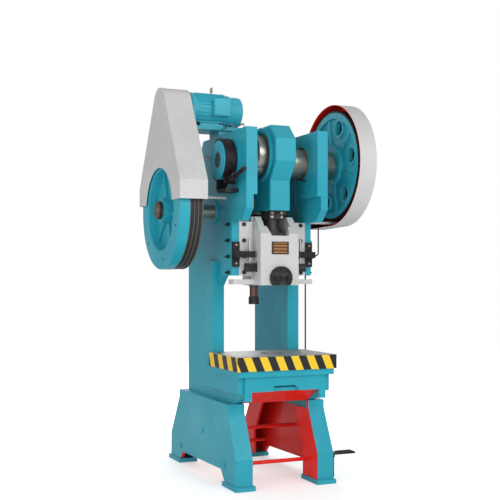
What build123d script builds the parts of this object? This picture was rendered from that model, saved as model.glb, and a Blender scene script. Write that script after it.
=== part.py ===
from build123d import *
import math
import os

os.makedirs("parts", exist_ok=True)

# Open-front eccentric press. X runs along the crankshaft, to the right seen from the operator,
# Y runs backwards from the front edge of the bolster, Z is up from the floor. Millimetres.

# Clearances
gap = 0.3          # between faces of pieces that move past each other
run_gap = 0.05     # radial clearance of a shaft in its bush
seat = 0.02        # radial clearance of a part seated on its shaft

# Bolster and table
bolster_width = 600
bolster_depth = 424
bolster_thick = 78
bolster_top = 723
bolster_hole_r = 65
die_bolt_r = 8
bolster_edge = 2
die_bolt_x = 440
die_bolt_y = 280
shelf_thick = 33
shelf_half = 288
shelf_front = 10
apron_thick = 20
apron_half = 244

# Press geometry
ram_y = 217             # ram axis behind the bolster's front edge
throat = 214            # ram axis to the columns
stroke = 80
crank_z = 1800
teeth_gear = 125
teeth_pinion = 27
tooth_module = 5
pinion_angle = -44.6    # direction of the back shaft seen from the crank

# Side frames
side_inner = 204
side_outer = 246
rim_outer = 276
rim_depth = 116
rim_top = 1245
rim_bottom = 518
body_bottom = 405
belly_front = 166
chin_z = 505
table_front = 46
throat_top = 1102
throat_chamfer = 71
head_bottom = 1162
head_front = 212
block_front = 4
block_under = 1463
block_chamfer_z = 1526
block_chamfer_y = 70
block_inner = 182
block_inner_bottom = 1600
frame_top = 1963
frame_top_rear = 660
column_rear = 915
column_rear_top = 1560
boss_r = 128
boss_thick = 10
back_boss_wall = 18

# Legs
leg_top = 454
leg_bend = 409
leg_knee = 167
leg_outer = 296
leg_plate = 20
leg_front_top = 146
leg_front_foot = 31
leg_rear_top = 946
leg_rear_foot = 1100
leg_flange_inner = 197
return_thick = 15
return_depth = 185
foot_thick = 24
foot_inner = 187
foot_outer = 304
foot_front = 12
foot_length = 204
foot_overhang = 7
foot_hole_r = 11
arch_front = 250
arch_rear = 877
arch_front_z = 85
arch_rear_z = 75
tie_r = 11
tie_places = [(206, 112), (920, 107), (545, 255)]
tie_nut_r = 15
tie_nut_height = 6

# Crank group
journal_r = 83
eccentric_r = 109
eccentric_left = -120
eccentric_right = 66
bush_wall = 12
brake_r = 107
brake_left = -330
brake_right = -262
band_thick = 11
band_width = 60
band_bolt_r = 12
band_bolt_x = -290
band_bolt_away = 134
band_bolt_angle = 167.5
band_bolt_front = 270
band_bolt_back = 46
shaft_end_r = 44

# Connecting rod
rod_half = 62
rod_boss = 76
rod_bore_r = 121
rod_ring_r = 133
rod_front = 24
rod_top = 1997
rod_top_corner = 1914
rod_low_corner = 1791
rod_shank_front = 102
rod_shank_top = 1689
rod_shank_bottom = 1524
screw_r = 43
ball_r = 50
ball_z = 1332
ball_free = 10          # free space that the opened pivot needs under the ball

# Slide
slide_half = 117
slide_front = 102
slide_guide_half = 126
slide_bottom = 1108
slide_top = 1492
slide_slope_z = 1395
slide_slope_y = 190
pocket_half = 79
pocket_front = 140
pocket_behind = 22        # from the screw at its rearmost to the pocket's rear wall
pocket_rear = ram_y + stroke / 2 + screw_r + pocket_behind
guide_wall = 16
slide_guide_rear = pocket_rear + guide_wall
pocket_lip = 1383
pocket_flare = 26         # how much wider the front notch is at the top, each side
wing_half = 245
wing_front = 190
wing_rear = 262
wing_low = 1113
wing_high = 1141
wing_slot_x = 200
wing_hole_r = 9
shank_r = 20
shank_depth = 62
clamp_r = 64
clamp_z = 1149
clamp_proud = 26
vee_half = 28
vee_depth = 26
vee_y = 280
plate_half = 52
plate_low = 1280
plate_high = 1350
plate_thick = 3
bar_y = 165
bar_half_y = 13
bar_reach = 185
bar_low = 1183
bar_high = 1230
bar_lift = 12

# Gibs and stops
gib_front = 204
gib_behind = 7
gib_rear = slide_guide_rear + gib_behind
gib_bolt_x = 176
gib_bolt_z = [1179, 1268, 1358, 1448]
gib_screw_y = 252
stop_plate_low = 1211
stop_plate_high = 1350
stop_plate_thick = 18
stop_arm_low = 1262
stop_arm_high = 1297
stop_arm_inner = 130
stop_screw_x = 156
stop_screw_r = 7
stop_screw_top = 1365

# Gear, guard and back shaft
gear_inner = 385
gear_width = 70
gear_web = 26
gear_rim = 34
gear_hub_r = 118
gear_hub_inner = 372
gear_hole_r = 42
gear_hole_pcr = 222
gear_guard_r = 350
gear_guard_inner = 375
gear_guard_outer = 480
guard_sheet = 3
pinion_guard_r = 92
back_shaft_r = 40
back_shaft_bush = 9
flywheel_r = 337
flywheel_outer = -571
flywheel_belt_side = -512
flywheel_inner = -436
flywheel_recess_r = 228
flywheel_web = 28
flywheel_hub_r = 74
flywheel_cap_r = 51
flywheel_cap_end = -592
groove_count = 3
groove_pitch = 23
groove_top = 17
groove_floor = 12
groove_depth = 16

# Belt drive and motor
motor_y = 480
motor_z = 2115
motor_r = 92
motor_fin = 8
motor_left = -415
motor_right = -186
fan_cover_right = -96
fan_cover_r = 88
motor_shaft_r = 14
pulley_r = 62
belt_thick = 11
belt_width = 12
belt_drop = 2
motor_base_top = 2014
motor_base_front = 385
motor_base_rear = 575
belt_guard_left = -582
belt_guard_right = -422
belt_guard_bottom = 1575
belt_guard_top_r = 100
belt_guard_front_low = 120
belt_guard_hole_gap = 12
belt_guard_corner = 1675  # where its slanted edges turn upright
guard_shaft_hole_r = 60

# Pedal linkage
rod_off_bolster = 12      # from the bolster's side to the pull rod
rod_x = bolster_width / 2 + rod_off_bolster
rod_y = 420
rod_r = 4.5
lever_pivot_y = 500
pedal_z = 150
clutch_z = 1268
lever_thick = 8
pedal_plate_front = 40
pedal_plate_rear = 100
pedal_plate_right = 442
guide_low = 31
guide_high = 166
guide_width = 28
guide_thick = 6

# Values that follow from the driving ones
belly_step = leg_top
column_front = ram_y + throat
shelf_top = bolster_top - bolster_thick
shelf_low = shelf_top - shelf_thick
gear_pitch_r = tooth_module * teeth_gear / 2
pinion_pitch_r = tooth_module * teeth_pinion / 2
shaft_distance = gear_pitch_r + pinion_pitch_r
back_y = ram_y + shaft_distance * math.cos(math.radians(pinion_angle))
back_z = crank_z + shaft_distance * math.sin(math.radians(pinion_angle))
throw = stroke / 2
pin_z = crank_z + throw
rear_of = 2 * ram_y
gear_tip_r = gear_pitch_r + tooth_module
belt_r = flywheel_r - 2

# The origin is the middle of the bounding box, on the floor
band_bolt_way = (math.cos(math.radians(band_bolt_angle)), math.sin(math.radians(band_bolt_angle)))
band_bolt_foot = (ram_y - band_bolt_away * band_bolt_way[1],
                  crank_z + band_bolt_away * band_bolt_way[0])
mid_x = (flywheel_cap_end + gear_guard_outer) / 2
foot_rear = leg_rear_foot + foot_length - return_depth + foot_overhang
mid_y = (ram_y - gear_guard_r + foot_rear) / 2


def across(x):
    """Plane square to the crankshaft at x: its axes are Y and Z."""
    return Plane.YZ.offset(x)


def facing(y):
    """Plane facing the operator at y: its axes are X and Z."""
    return Plane.XZ.offset(-y)


def level(z):
    """Horizontal plane at height z: its axes are X and Y."""
    return Plane.XY.offset(z)


def plate(plane, points, depth, mode=Mode.ADD):
    """Extrude a closed outline from its plane."""
    with BuildSketch(plane) as outline:
        with BuildLine():
            Polyline(*points, close=True)
        make_face()
    extrude(outline.sketch, amount=depth, mode=mode)


def bar(plane, low, high, depth, mode=Mode.ADD):
    """Extrude the rectangle between two corners from its plane."""
    with BuildSketch(plane) as outline:
        with Locations(((low[0] + high[0]) / 2, (low[1] + high[1]) / 2)):
            Rectangle(high[0] - low[0], high[1] - low[1])
    extrude(outline.sketch, amount=depth, mode=mode)


def disc(plane, centres, radius, depth, mode=Mode.ADD):
    """Extrude one round at each centre from its plane."""
    with BuildSketch(plane) as outline:
        with Locations(*centres):
            Circle(radius)
    extrude(outline.sketch, amount=depth, mode=mode)


def ring(plane, centre, outer, inner, depth, mode=Mode.ADD):
    """Extrude a ring from its plane."""
    with BuildSketch(plane) as outline:
        with Locations(centre):
            Circle(outer)
            Circle(inner, mode=Mode.SUBTRACT)
    extrude(outline.sketch, amount=depth, mode=mode)


def hexes(plane, centres, radius, depth):
    """Extrude one hexagon head at each centre from its plane."""
    with BuildSketch(plane) as outline:
        with Locations(*centres):
            RegularPolygon(radius, 6)
    extrude(outline.sketch, amount=depth)


def hull(plane, rounds, depth, base=None, mode=Mode.ADD):
    """Extrude the outline that wraps some rounds and, if given, one straight base line."""
    with BuildSketch(plane) as outline:
        for centre, radius in rounds:
            with Locations(centre):
                Circle(radius)
        if base:
            with BuildLine():
                Line(*base)
        make_hull()
    extrude(outline.sketch, amount=depth, mode=mode)


def tube(points, radii, radius):
    """Bend a round bar through some points."""
    with BuildLine() as path:
        FilletPolyline(*points, radius=radii)
    with BuildSketch(path.line ^ 0) as section:
        Circle(radius)
    sweep(section.sketch, path=path.line)


def save(piece, name):
    """Move a finished piece into the origin's frame, label it and write it."""
    piece.part.label = name
    placed = piece.part.moved(Location((-mid_x, -mid_y, 0)))
    placed.label = name
    export_step(placed, f"parts/{name}.step")


def save_mirrored(piece, name):
    """Write the left-hand copy of a right-hand piece."""
    with BuildPart() as copy:
        mirror(piece.part, about=Plane.YZ)
    save(copy, name)


# Side frames: one thick C-shaped wall each, with a raised rim round the throat
crank_axis = (ram_y, crank_z)
back_axis = (back_y, back_z)
side_outline = [
    (belly_front, body_bottom), (belly_front, belly_step), (table_front, chin_z),
    (table_front, shelf_low), (column_front, shelf_low), (column_front, throat_top),
    (column_front - throat_chamfer, head_bottom), (head_front, head_bottom),
    (head_front, block_under), (block_chamfer_y, block_under),
    (block_front, block_chamfer_z), (block_front, frame_top), (frame_top_rear, frame_top),
    (column_rear, column_rear_top), (column_rear, body_bottom),
]
rim_outline = [
    (table_front, rim_bottom), (column_front + rim_depth, rim_bottom),
    (column_front + rim_depth, rim_top), (column_front, rim_top),
    (column_front, shelf_low), (table_front, shelf_low),
]
bush_r = journal_r + bush_wall
back_bush_r = back_shaft_r + back_shaft_bush

with BuildPart() as side_frame_right:
    plate(across(side_inner), side_outline, side_outer - side_inner)
    plate(across(side_outer), rim_outline, rim_outer - side_outer)
    bar(across(block_inner), (block_front, block_inner_bottom), (column_front, frame_top),
        side_inner - block_inner)
    disc(across(side_outer), [crank_axis], boss_r, boss_thick)
    disc(across(side_outer), [back_axis], back_bush_r + back_boss_wall, boss_thick)
    disc(across(block_inner), [crank_axis], bush_r, side_outer + boss_thick - block_inner,
         Mode.SUBTRACT)
    disc(across(side_inner), [back_axis], back_bush_r, side_outer + boss_thick - side_inner,
         Mode.SUBTRACT)
save(side_frame_right, "side_frame_right")
save_mirrored(side_frame_right, "side_frame_left")

# Cross members between the side frames
rod_clear = 8
head_web_top = rod_shank_bottom - stroke - rod_clear
with BuildPart() as head_web:
    bar(level(head_bottom), (-side_inner, gib_rear), (side_inner, column_front),
        head_web_top - head_bottom)
save(head_web, "head_web")

back_plate_room = 30
back_plate_front = back_y + back_bush_r + back_plate_room
back_plate_thick = 28
top_plate_thick = 30
top_plate_front = column_front + throw
with BuildPart() as head_back:
    bar(level(head_bottom), (-side_inner, back_plate_front),
        (side_inner, back_plate_front + back_plate_thick), frame_top - head_bottom)
    bar(level(frame_top - top_plate_thick), (-side_inner, top_plate_front),
        (side_inner, back_plate_front), top_plate_thick)
save(head_back, "head_back")

base_web_front = 640
base_web_thick = 28
with BuildPart() as base_web:
    bar(level(body_bottom), (-side_inner, base_web_front),
        (side_inner, base_web_front + base_web_thick), shelf_top - body_bottom)
save(base_web, "base_web")

# Table: shelf, apron with its stepped lower edge, and the sloping belly below
apron_low = 480
apron_edge = 530
apron_step = 559
step_left = -72
step_right = 58
step_slope = 23
belly_thick = 15
belly_rear = 420
belly_lap = 4
belly_mitre = 5
shelf_hole_margin = 12
shelf_gap = 1
with BuildPart() as table:
    bar(level(shelf_low), (-shelf_half, shelf_front), (shelf_half, column_front - shelf_gap), shelf_thick)
    disc(level(shelf_low), [(0, ram_y)], bolster_hole_r + shelf_hole_margin, shelf_thick, Mode.SUBTRACT)
    plate(facing(table_front), [
        (-apron_half, apron_low), (-side_inner, apron_low), (-side_inner, apron_edge),
        (step_left, apron_edge), (step_left, apron_step), (step_right, apron_step),
        (step_right + step_slope, apron_edge), (side_inner, apron_edge),
        (side_inner, apron_low), (apron_half, apron_low), (apron_half, shelf_low),
        (-apron_half, shelf_low),
    ], apron_thick)
    plate(across(-side_inner), [
        (table_front, apron_edge), (belly_front, belly_step), (belly_rear, belly_step),
        (belly_rear, belly_step + belly_thick), (belly_front + belly_mitre, belly_step + belly_thick),
        (table_front, apron_edge + belly_thick + belly_lap),
    ], 2 * side_inner)
save(table, "table")

# Bolster plate with the drop-through hole and the die bolt holes
with BuildPart() as bolster:
    bar(level(shelf_top), (-bolster_width / 2, 0), (bolster_width / 2, bolster_depth),
        bolster_thick)
    with Locations((0, ram_y, bolster_top)):
        Hole(bolster_hole_r)
        with GridLocations(die_bolt_x, die_bolt_y, 2, 2):
            Hole(die_bolt_r)
    chamfer(bolster.faces().sort_by(Axis.Z)[-1].outer_wire().edges(), bolster_edge)
save(bolster, "bolster")

# Legs: an outer plate with an arch, a folded front and rear post, ledge and foot pads
front_line = [(leg_front_foot, foot_thick), (leg_front_foot, leg_knee),
              (leg_front_top, leg_bend), (leg_front_top, leg_top)]
rear_line = [(leg_rear_foot, foot_thick), (leg_rear_foot, leg_knee),
             (leg_rear_top, leg_bend), (leg_rear_top, leg_top)]


def shifted(line, step):
    """The same line moved in Y."""
    return [(y + step, z) for y, z in line]


leg_outline = front_line + rear_line[::-1] + [
    (leg_rear_foot - return_depth + leg_plate, foot_thick), (arch_rear, arch_rear_z),
    (arch_front, arch_front_z), (leg_front_foot + return_depth - leg_plate, foot_thick),
]
with BuildPart() as leg_right:
    plate(across(leg_outer - leg_plate), leg_outline, leg_plate)
    for line, inward in ((front_line, 1), (rear_line, -1)):
        flange = line + shifted(line, inward * leg_plate)[::-1]
        plate(across(leg_flange_inner), flange, leg_outer - leg_plate - leg_flange_inner)
        short = line[:2] + [(line[2][0], body_bottom)]
        wall = shifted(short, inward * leg_plate) + shifted(short, inward * return_depth)[::-1]
        plate(across(leg_flange_inner), wall, return_thick)
    bar(level(leg_top - leg_plate), (side_outer, leg_front_top + leg_plate),
        (leg_outer - leg_plate, leg_rear_top - leg_plate), leg_plate)
    bar(level(0), (foot_inner, foot_front), (foot_outer, foot_front + foot_length), foot_thick)
    bar(level(0), (foot_inner, foot_rear - foot_length), (foot_outer, foot_rear), foot_thick)
    foot_hole_x = (foot_inner + foot_outer) / 2
    foot_holes = [(foot_hole_x, foot_front + foot_length / 2),
                  (foot_hole_x, foot_rear - foot_length / 2)]
    disc(level(0), foot_holes, foot_hole_r, foot_thick, Mode.SUBTRACT)
    disc(across(leg_flange_inner), tie_places, tie_r + gap, leg_outer - leg_flange_inner,
         Mode.SUBTRACT)
save(leg_right, "leg_right")
save_mirrored(leg_right, "leg_left")

with BuildPart() as tie_bars:
    disc(across(-leg_outer), tie_places, tie_r, 2 * leg_outer)
save(tie_bars, "tie_bars")

with BuildPart() as tie_nuts:
    disc(across(leg_outer), tie_places, tie_nut_r, tie_nut_height)
    chamfer(tie_nuts.faces().sort_by(Axis.X)[-3:].edges(), tie_nut_height / 3)
    mirror(about=Plane.YZ)
save(tie_nuts, "tie_nuts")

# Crank bushes and crankshaft
with BuildPart() as crank_bushes:
    ring(across(block_inner), crank_axis, bush_r - seat, journal_r + run_gap,
         side_outer + boss_thick - block_inner)
    mirror(about=Plane.YZ)
save(crank_bushes, "crank_bushes")

with BuildPart() as back_shaft_bushes:
    ring(across(side_inner), back_axis, back_bush_r - seat, back_shaft_r + run_gap,
         side_outer + boss_thick - side_inner)
    mirror(about=Plane.YZ)
save(back_shaft_bushes, "back_shaft_bushes")

pin_axis = (ram_y, pin_z)
gear_seat_step = 13
gear_seat_r = journal_r - gear_seat_step
oil_hole_r = 6
eccentric_neck = 1        # free length of journal between the eccentric and the rod
gear_shoulder = gear_hub_inner - 12
shaft_right = gear_guard_outer - guard_sheet - 14
shaft_left = brake_left + 3
oil_holes = [(eccentric_left + 22, pin_z - 10, ram_y - eccentric_r),
             (rod_half + 70, crank_z + 10, ram_y - journal_r)]
with BuildPart() as crankshaft:
    disc(across(brake_right), [crank_axis], journal_r, eccentric_left - brake_right)
    disc(across(eccentric_left), [pin_axis], eccentric_r, eccentric_right - eccentric_left)
    disc(across(eccentric_left), [crank_axis], journal_r,
         -rod_half - eccentric_neck - eccentric_left)
    disc(across(eccentric_right), [crank_axis], journal_r, gear_shoulder - eccentric_right)
    disc(across(gear_shoulder), [crank_axis], gear_seat_r, shaft_right - gear_shoulder)
    disc(across(shaft_left), [crank_axis], shaft_end_r, brake_right - shaft_left)
    for x, z, front in oil_holes:
        disc(facing(front + oil_hole_r), [(x, z)], oil_hole_r, 2 * oil_hole_r, Mode.SUBTRACT)
save(crankshaft, "crankshaft")

# Brake: drum on the crankshaft, band round it, and the bolt that pulls the band's ends together
drum_chamfer = 2
with BuildPart() as brake_drum:
    ring(across(brake_left), crank_axis, brake_r, shaft_end_r + seat, brake_right - brake_left)
    chamfer(brake_drum.faces().sort_by(Axis.X)[0].edges(), drum_chamfer)
save(brake_drum, "brake_drum")

band_aside = 4
band_x = band_bolt_x - band_width / 2 - band_aside
band_inner_r = brake_r + gap
band_outer_r = band_inner_r + band_thick
lug_over = 34
lug_reach = band_bolt_away + lug_over
lug_inset = 3
lug_root = band_inner_r + 1
lug_half = 6
lug_turn = 21
band_foot_angle = band_bolt_angle + 90


def around_crank(angle, radius, aside=0):
    """A point at an angle and radius from the crank, moved aside along the rim."""
    turn = math.radians(angle)
    return (ram_y + radius * math.cos(turn) - aside * math.sin(turn),
            crank_z + radius * math.sin(turn) + aside * math.cos(turn))


band_bolt_line = Plane(
    origin=(band_bolt_x, band_bolt_foot[0] - band_bolt_back * band_bolt_way[0],
            band_bolt_foot[1] - band_bolt_back * band_bolt_way[1]),
    z_dir=(0, band_bolt_way[0], band_bolt_way[1]))
band_bolt_length = band_bolt_front + band_bolt_back
with BuildPart() as brake_band:
    ring(across(band_x), crank_axis, band_outer_r, band_inner_r, band_width)
    opening = [around_crank(band_foot_angle - lug_turn, 0),
               around_crank(band_foot_angle - lug_turn, lug_reach),
               around_crank(band_foot_angle + lug_turn, lug_reach)]
    plate(across(band_x), opening, band_width, Mode.SUBTRACT)
    for side in (-1, 1):
        angle = band_foot_angle + side * (lug_turn + lug_inset)
        plate(across(band_x), [
            around_crank(angle, lug_root, -lug_half),
            around_crank(angle, lug_reach, -lug_half),
            around_crank(angle, lug_reach, lug_half),
            around_crank(angle, lug_root, lug_half),
        ], band_width)
    disc(band_bolt_line, [(0, 0)], band_bolt_r + gap, band_bolt_length, Mode.SUBTRACT)
save(brake_band, "brake_band")

with BuildPart() as brake_bolt:
    disc(band_bolt_line, [(0, 0)], band_bolt_r, band_bolt_length)
save(brake_bolt, "brake_bolt")

bracket_front = 112
bracket_rear = 232
bracket_low = 1618
bracket_high = 1638
with BuildPart() as brake_bracket:
    bar(across(band_x), (bracket_front, bracket_low), (bracket_rear, bracket_high),
        -side_outer - band_x)
save(brake_bracket, "brake_bracket")

# Connecting rod with its bush, the adjusting screw with its ball, and the clamp collar
rod_outline_front = [
    (rod_shank_front, rod_shank_bottom), (rod_shank_front, rod_shank_top),
    (rod_front, rod_low_corner), (rod_front, rod_top_corner),
    (rod_front + rod_top - rod_top_corner, rod_top),
]
rod_outline = rod_outline_front + [(rear_of - y, z) for y, z in rod_outline_front[::-1]]
screw_hidden = 96
screw_top = rod_shank_bottom + screw_hidden
screw_room = 4
ring_margin = 6
rod_bevel = 5
with BuildPart() as connecting_rod:
    plate(across(-rod_half), rod_outline, 2 * rod_half)
    chamfer(connecting_rod.edges().group_by(Axis.X)[0] + connecting_rod.edges().group_by(Axis.X)[-1],
            rod_bevel)
    disc(across(-rod_boss), [pin_axis], rod_top - pin_z - ring_margin, rod_boss - rod_half)
    disc(across(-rod_half), [pin_axis], rod_bore_r, 2 * rod_half, Mode.SUBTRACT)
    disc(across(-rod_boss), [pin_axis], rod_ring_r, rod_boss - rod_half, Mode.SUBTRACT)
    disc(level(rod_shank_bottom), [(0, ram_y)], screw_r + seat,
         screw_hidden + screw_room, Mode.SUBTRACT)
save(connecting_rod, "connecting_rod")

with BuildPart() as rod_bush:
    ring(across(-rod_half), pin_axis, rod_bore_r - seat, eccentric_r + run_gap, 2 * rod_half)
save(rod_bush, "rod_bush")

with BuildPart() as adjusting_screw:
    disc(level(ball_z), [(0, ram_y)], screw_r, screw_top - ball_z)
    with Locations((0, ram_y, ball_z)):
        Sphere(ball_r)
save(adjusting_screw, "adjusting_screw")

collar_height = 46
collar_r = 62
collar_low = rod_shank_bottom - collar_height
collar_pad_half = 44
collar_pad_front = 152
collar_split = 2
collar_screw_x = 29
collar_screw_r = 7
collar_screw_proud = 8
with BuildPart() as clamp_collar:
    disc(level(collar_low), [(0, ram_y)], collar_r, collar_height)
    bar(level(collar_low), (-collar_pad_half, collar_pad_front), (collar_pad_half, ram_y),
        collar_height)
    disc(level(collar_low), [(0, ram_y)], screw_r + seat, collar_height, Mode.SUBTRACT)
    bar(level(collar_low), (-collar_split, collar_pad_front), (collar_split, ram_y),
        collar_height, Mode.SUBTRACT)
save(clamp_collar, "clamp_collar")

with BuildPart() as collar_screws:
    for z in (collar_low + collar_height / 4, collar_low + 3 * collar_height / 4):
        disc(facing(collar_pad_front), [(-collar_screw_x, z), (collar_screw_x, z)],
             collar_screw_r, collar_screw_proud)
save(collar_screws, "collar_screws")

bolt_r = 12
bolt_head = 9
clamp_screw_x = 36

# Slide with its pocket, vee guides, wings, knock-out slot and shank hole
slide_outline = [
    (slide_front, slide_bottom), (slide_front, slide_slope_z), (slide_slope_y, slide_top),
    (slide_guide_rear, slide_top), (slide_guide_rear, slide_bottom),
]
seat_thick = 15
seat_low = ball_z - ball_r - ball_free - seat_thick
slide_edge = 5
with BuildPart() as slide:
    plate(across(-slide_half), slide_outline, 2 * slide_half)
    bar(level(slide_bottom), (-slide_guide_half, head_front), (slide_guide_half, slide_guide_rear),
        slide_top - slide_bottom)
    bar(level(wing_low), (-wing_half, wing_front), (wing_half, wing_rear), wing_high - wing_low)
    for way in (-1, 1):
        face = way * slide_guide_half
        plate(level(wing_high), [(face, vee_y - vee_half), (face + way * vee_depth, vee_y),
                                 (face, vee_y + vee_half)], slide_top - wing_high)
    bar(level(seat_low), (-pocket_half, pocket_front), (pocket_half, pocket_rear),
        slide_top - seat_low, Mode.SUBTRACT)
    notch_half = pocket_half - pocket_flare
    plate(facing(pocket_rear), [(-notch_half, pocket_lip), (notch_half, pocket_lip),
                                (pocket_half, slide_top), (-pocket_half, slide_top)],
          pocket_rear - block_front, Mode.SUBTRACT)
    chamfer(slide.edges().filter_by(Axis.Z).group_by(Axis.Y)[0], slide_edge)
    bar(across(-slide_guide_half), (bar_y - bar_half_y - gap, bar_low - gap),
        (bar_y + bar_half_y + gap, bar_high + bar_lift + gap), 2 * slide_guide_half,
        Mode.SUBTRACT)
    disc(level(slide_bottom), [(0, ram_y)], shank_r, shank_depth, Mode.SUBTRACT)
    disc(level(wing_low), [(-wing_slot_x, (wing_front + wing_rear) / 2),
                           (wing_slot_x, (wing_front + wing_rear) / 2)], wing_hole_r,
         wing_high - wing_low, Mode.SUBTRACT)
save(slide, "slide")

seat_margin = 4
with BuildPart() as ball_seat:
    disc(level(seat_low), [(0, ram_y)], pocket_half - seat_margin, seat_thick)
save(ball_seat, "ball_seat")

cap_low = pocket_lip
cap_plate = 18
cap_boss = 40
cap_play = 3
cap_wall = 13
with BuildPart() as ball_cap:
    bar(level(cap_low), (-pocket_half, pocket_front), (pocket_half, pocket_rear), cap_plate)
    slot_r = screw_r + cap_play
    boss = slot_r + cap_wall
    hull(level(cap_low), [((0, ram_y), boss), ((0, ram_y + throw), boss)], cap_boss)
    hull(level(cap_low), [((0, ram_y), slot_r), ((0, ram_y + throw), slot_r)], cap_boss,
         mode=Mode.SUBTRACT)
save(ball_cap, "ball_cap")

with BuildPart() as nameplate:
    bar(facing(slide_front), (-plate_half, plate_low), (plate_half, plate_high), plate_thick)
save(nameplate, "nameplate")

with BuildPart() as shank_clamp:
    disc(facing(slide_front), [(0, clamp_z)], clamp_r, clamp_proud)
    bar(facing(slide_front), (-clamp_r, clamp_z - clamp_r), (clamp_r, slide_bottom), clamp_proud,
        Mode.SUBTRACT)
    clamp_face = slide_front - clamp_proud
    hexes(facing(clamp_face), [(-clamp_screw_x, clamp_z), (clamp_screw_x, clamp_z)], bolt_r,
          bolt_head)
    disc(facing(clamp_face), [(0, clamp_z)], bolt_r, bolt_head / 2)
save(shank_clamp, "shank_clamp")

with BuildPart() as knockout_bar:
    bar(across(-bar_reach), (bar_y - bar_half_y, bar_low), (bar_y + bar_half_y, bar_high),
        2 * bar_reach)
save(knockout_bar, "knockout_bar")

# Gibs, their bolts and set screws, and the knock-out stops
vee_relief = 1
with BuildPart() as gib_right:
    bar(level(head_bottom), (slide_guide_half + gap, gib_front), (side_inner, gib_rear),
        block_under - head_bottom)
    face = slide_guide_half + gap
    plate(level(head_bottom), [(face - vee_relief, vee_y - vee_half - vee_relief),
                               (face + vee_depth, vee_y),
                               (face - vee_relief, vee_y + vee_half + vee_relief)], block_under - head_bottom,
          Mode.SUBTRACT)
save(gib_right, "gib_right")
save_mirrored(gib_right, "gib_left")

with BuildPart() as gib_bolts:
    hexes(facing(gib_front), [(gib_bolt_x, z) for z in gib_bolt_z], bolt_r, bolt_head)
    mirror(about=Plane.YZ)
save(gib_bolts, "gib_bolts")

set_nut = 10
set_reach = 24
with BuildPart() as gib_set_screws:
    places = [(gib_screw_y, z) for z in gib_bolt_z]
    hexes(across(side_outer), places, bolt_r, set_nut)
    disc(across(side_outer), places, bolt_r / 2, set_reach)
    mirror(about=Plane.YZ)
save(gib_set_screws, "gib_set_screws")

stop_front = bar_y - bar_half_y
stop_gap = 1
with BuildPart() as stop_bracket_right:
    bar(facing(head_front), (side_inner + stop_gap, stop_plate_low), (side_outer, stop_plate_high),
        stop_plate_thick)
    bar(facing(head_front - stop_plate_thick), (stop_arm_inner, stop_arm_low),
        (side_outer, stop_arm_high), head_front - stop_plate_thick - stop_front)
    disc(level(stop_arm_low), [(stop_screw_x, bar_y)], stop_screw_r + seat,
         stop_arm_high - stop_arm_low, Mode.SUBTRACT)
save(stop_bracket_right, "stop_bracket_right")
save_mirrored(stop_bracket_right, "stop_bracket_left")

stop_screw_gap = 4
stop_screw_low = bar_high + bar_lift + stop_screw_gap
stop_nut_r = 13
stop_nut_height = 12
with BuildPart() as stop_screws:
    disc(level(stop_screw_low), [(stop_screw_x, bar_y)], stop_screw_r,
         stop_screw_top - stop_screw_low)
    hexes(level(stop_arm_high), [(stop_screw_x, bar_y)], stop_nut_r, stop_nut_height)
    mirror(about=Plane.YZ)
save(stop_screws, "stop_screws")


pressure_angle = 20
dedendum = 1.25           # in modules
backlash = 0.3


def gear_points(teeth, tooth_angle, steps):
    """Outline of a spur gear with involute flanks, one tooth centred at tooth_angle."""
    pressure = math.radians(pressure_angle)
    pitch_r = tooth_module * teeth / 2
    base_r = pitch_r * math.cos(pressure)
    root_r = pitch_r - dedendum * tooth_module
    tip_r = pitch_r + tooth_module

    def half_angle(radius):
        turn = math.acos(min(1.0, base_r / max(radius, base_r)))
        bend = math.tan(pressure) - pressure - math.tan(turn) + turn
        return math.pi / (2 * teeth) + bend - backlash / (2 * pitch_r)

    radii = [root_r + (tip_r - root_r) * step / steps for step in range(steps + 1)]
    points = []
    for tooth in range(teeth):
        centre = math.radians(tooth_angle) + 2 * math.pi * tooth / teeth
        flank = [(radius, centre - half_angle(radius)) for radius in radii]
        flank += [(radius, centre + half_angle(radius)) for radius in radii[::-1]]
        points += [(radius * math.cos(turn), radius * math.sin(turn)) for radius, turn in flank]
    return points


def gear_blank(x, centre, teeth, tooth_angle, steps, width):
    """Extrude a toothed disc whose axis runs along X."""
    with BuildSketch(across(x)) as outline:
        with BuildLine():
            Polyline(*[(centre[0] + y, centre[1] + z)
                       for y, z in gear_points(teeth, tooth_angle, steps)], close=True)
        make_face()
    extrude(outline.sketch, amount=width)


# Big gear on the crankshaft, pinion on the back shaft
gear_rim_inner = gear_pitch_r - dedendum * tooth_module - gear_rim
gear_dish = 12
gear_rib = 14
gear_rib_drop = 3
gear_hole_count = 6
gear_hole_turn = -10
gear_rib_turn = 20
with BuildPart() as big_gear:
    gear_blank(gear_inner, crank_axis, teeth_gear, pinion_angle, 1, gear_width)
    ring(across(gear_inner), crank_axis, gear_rim_inner, gear_hub_r, gear_dish, Mode.SUBTRACT)
    ring(across(gear_inner + gear_dish + gear_web), crank_axis, gear_rim_inner, gear_hub_r,
         gear_width - gear_dish - gear_web, Mode.SUBTRACT)
    disc(across(gear_hub_inner), [crank_axis], gear_hub_r, gear_width + gear_inner - gear_hub_inner)
    disc(across(gear_hub_inner), [crank_axis], gear_seat_r + run_gap,
         gear_width + gear_inner - gear_hub_inner, Mode.SUBTRACT)
    gear_holes = [around_crank(360 / gear_hole_count * step + gear_hole_turn, gear_hole_pcr)
                  for step in range(gear_hole_count)]
    disc(across(gear_inner + gear_rib_drop), gear_holes, gear_hole_r + gear_rib, gear_dish)
    with BuildSketch(across(gear_inner + gear_rib_drop)) as ribs:
        with Locations(crank_axis):
            with PolarLocations((gear_rim_inner + gear_hub_r) / 2, gear_hole_count,
                                start_angle=gear_rib_turn):
                Rectangle(gear_rim_inner - gear_hub_r + 2, gear_rib)
    extrude(ribs.sketch, amount=gear_dish)
    disc(across(gear_inner), gear_holes, gear_hole_r, gear_width, Mode.SUBTRACT)
save(big_gear, "big_gear")

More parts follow.
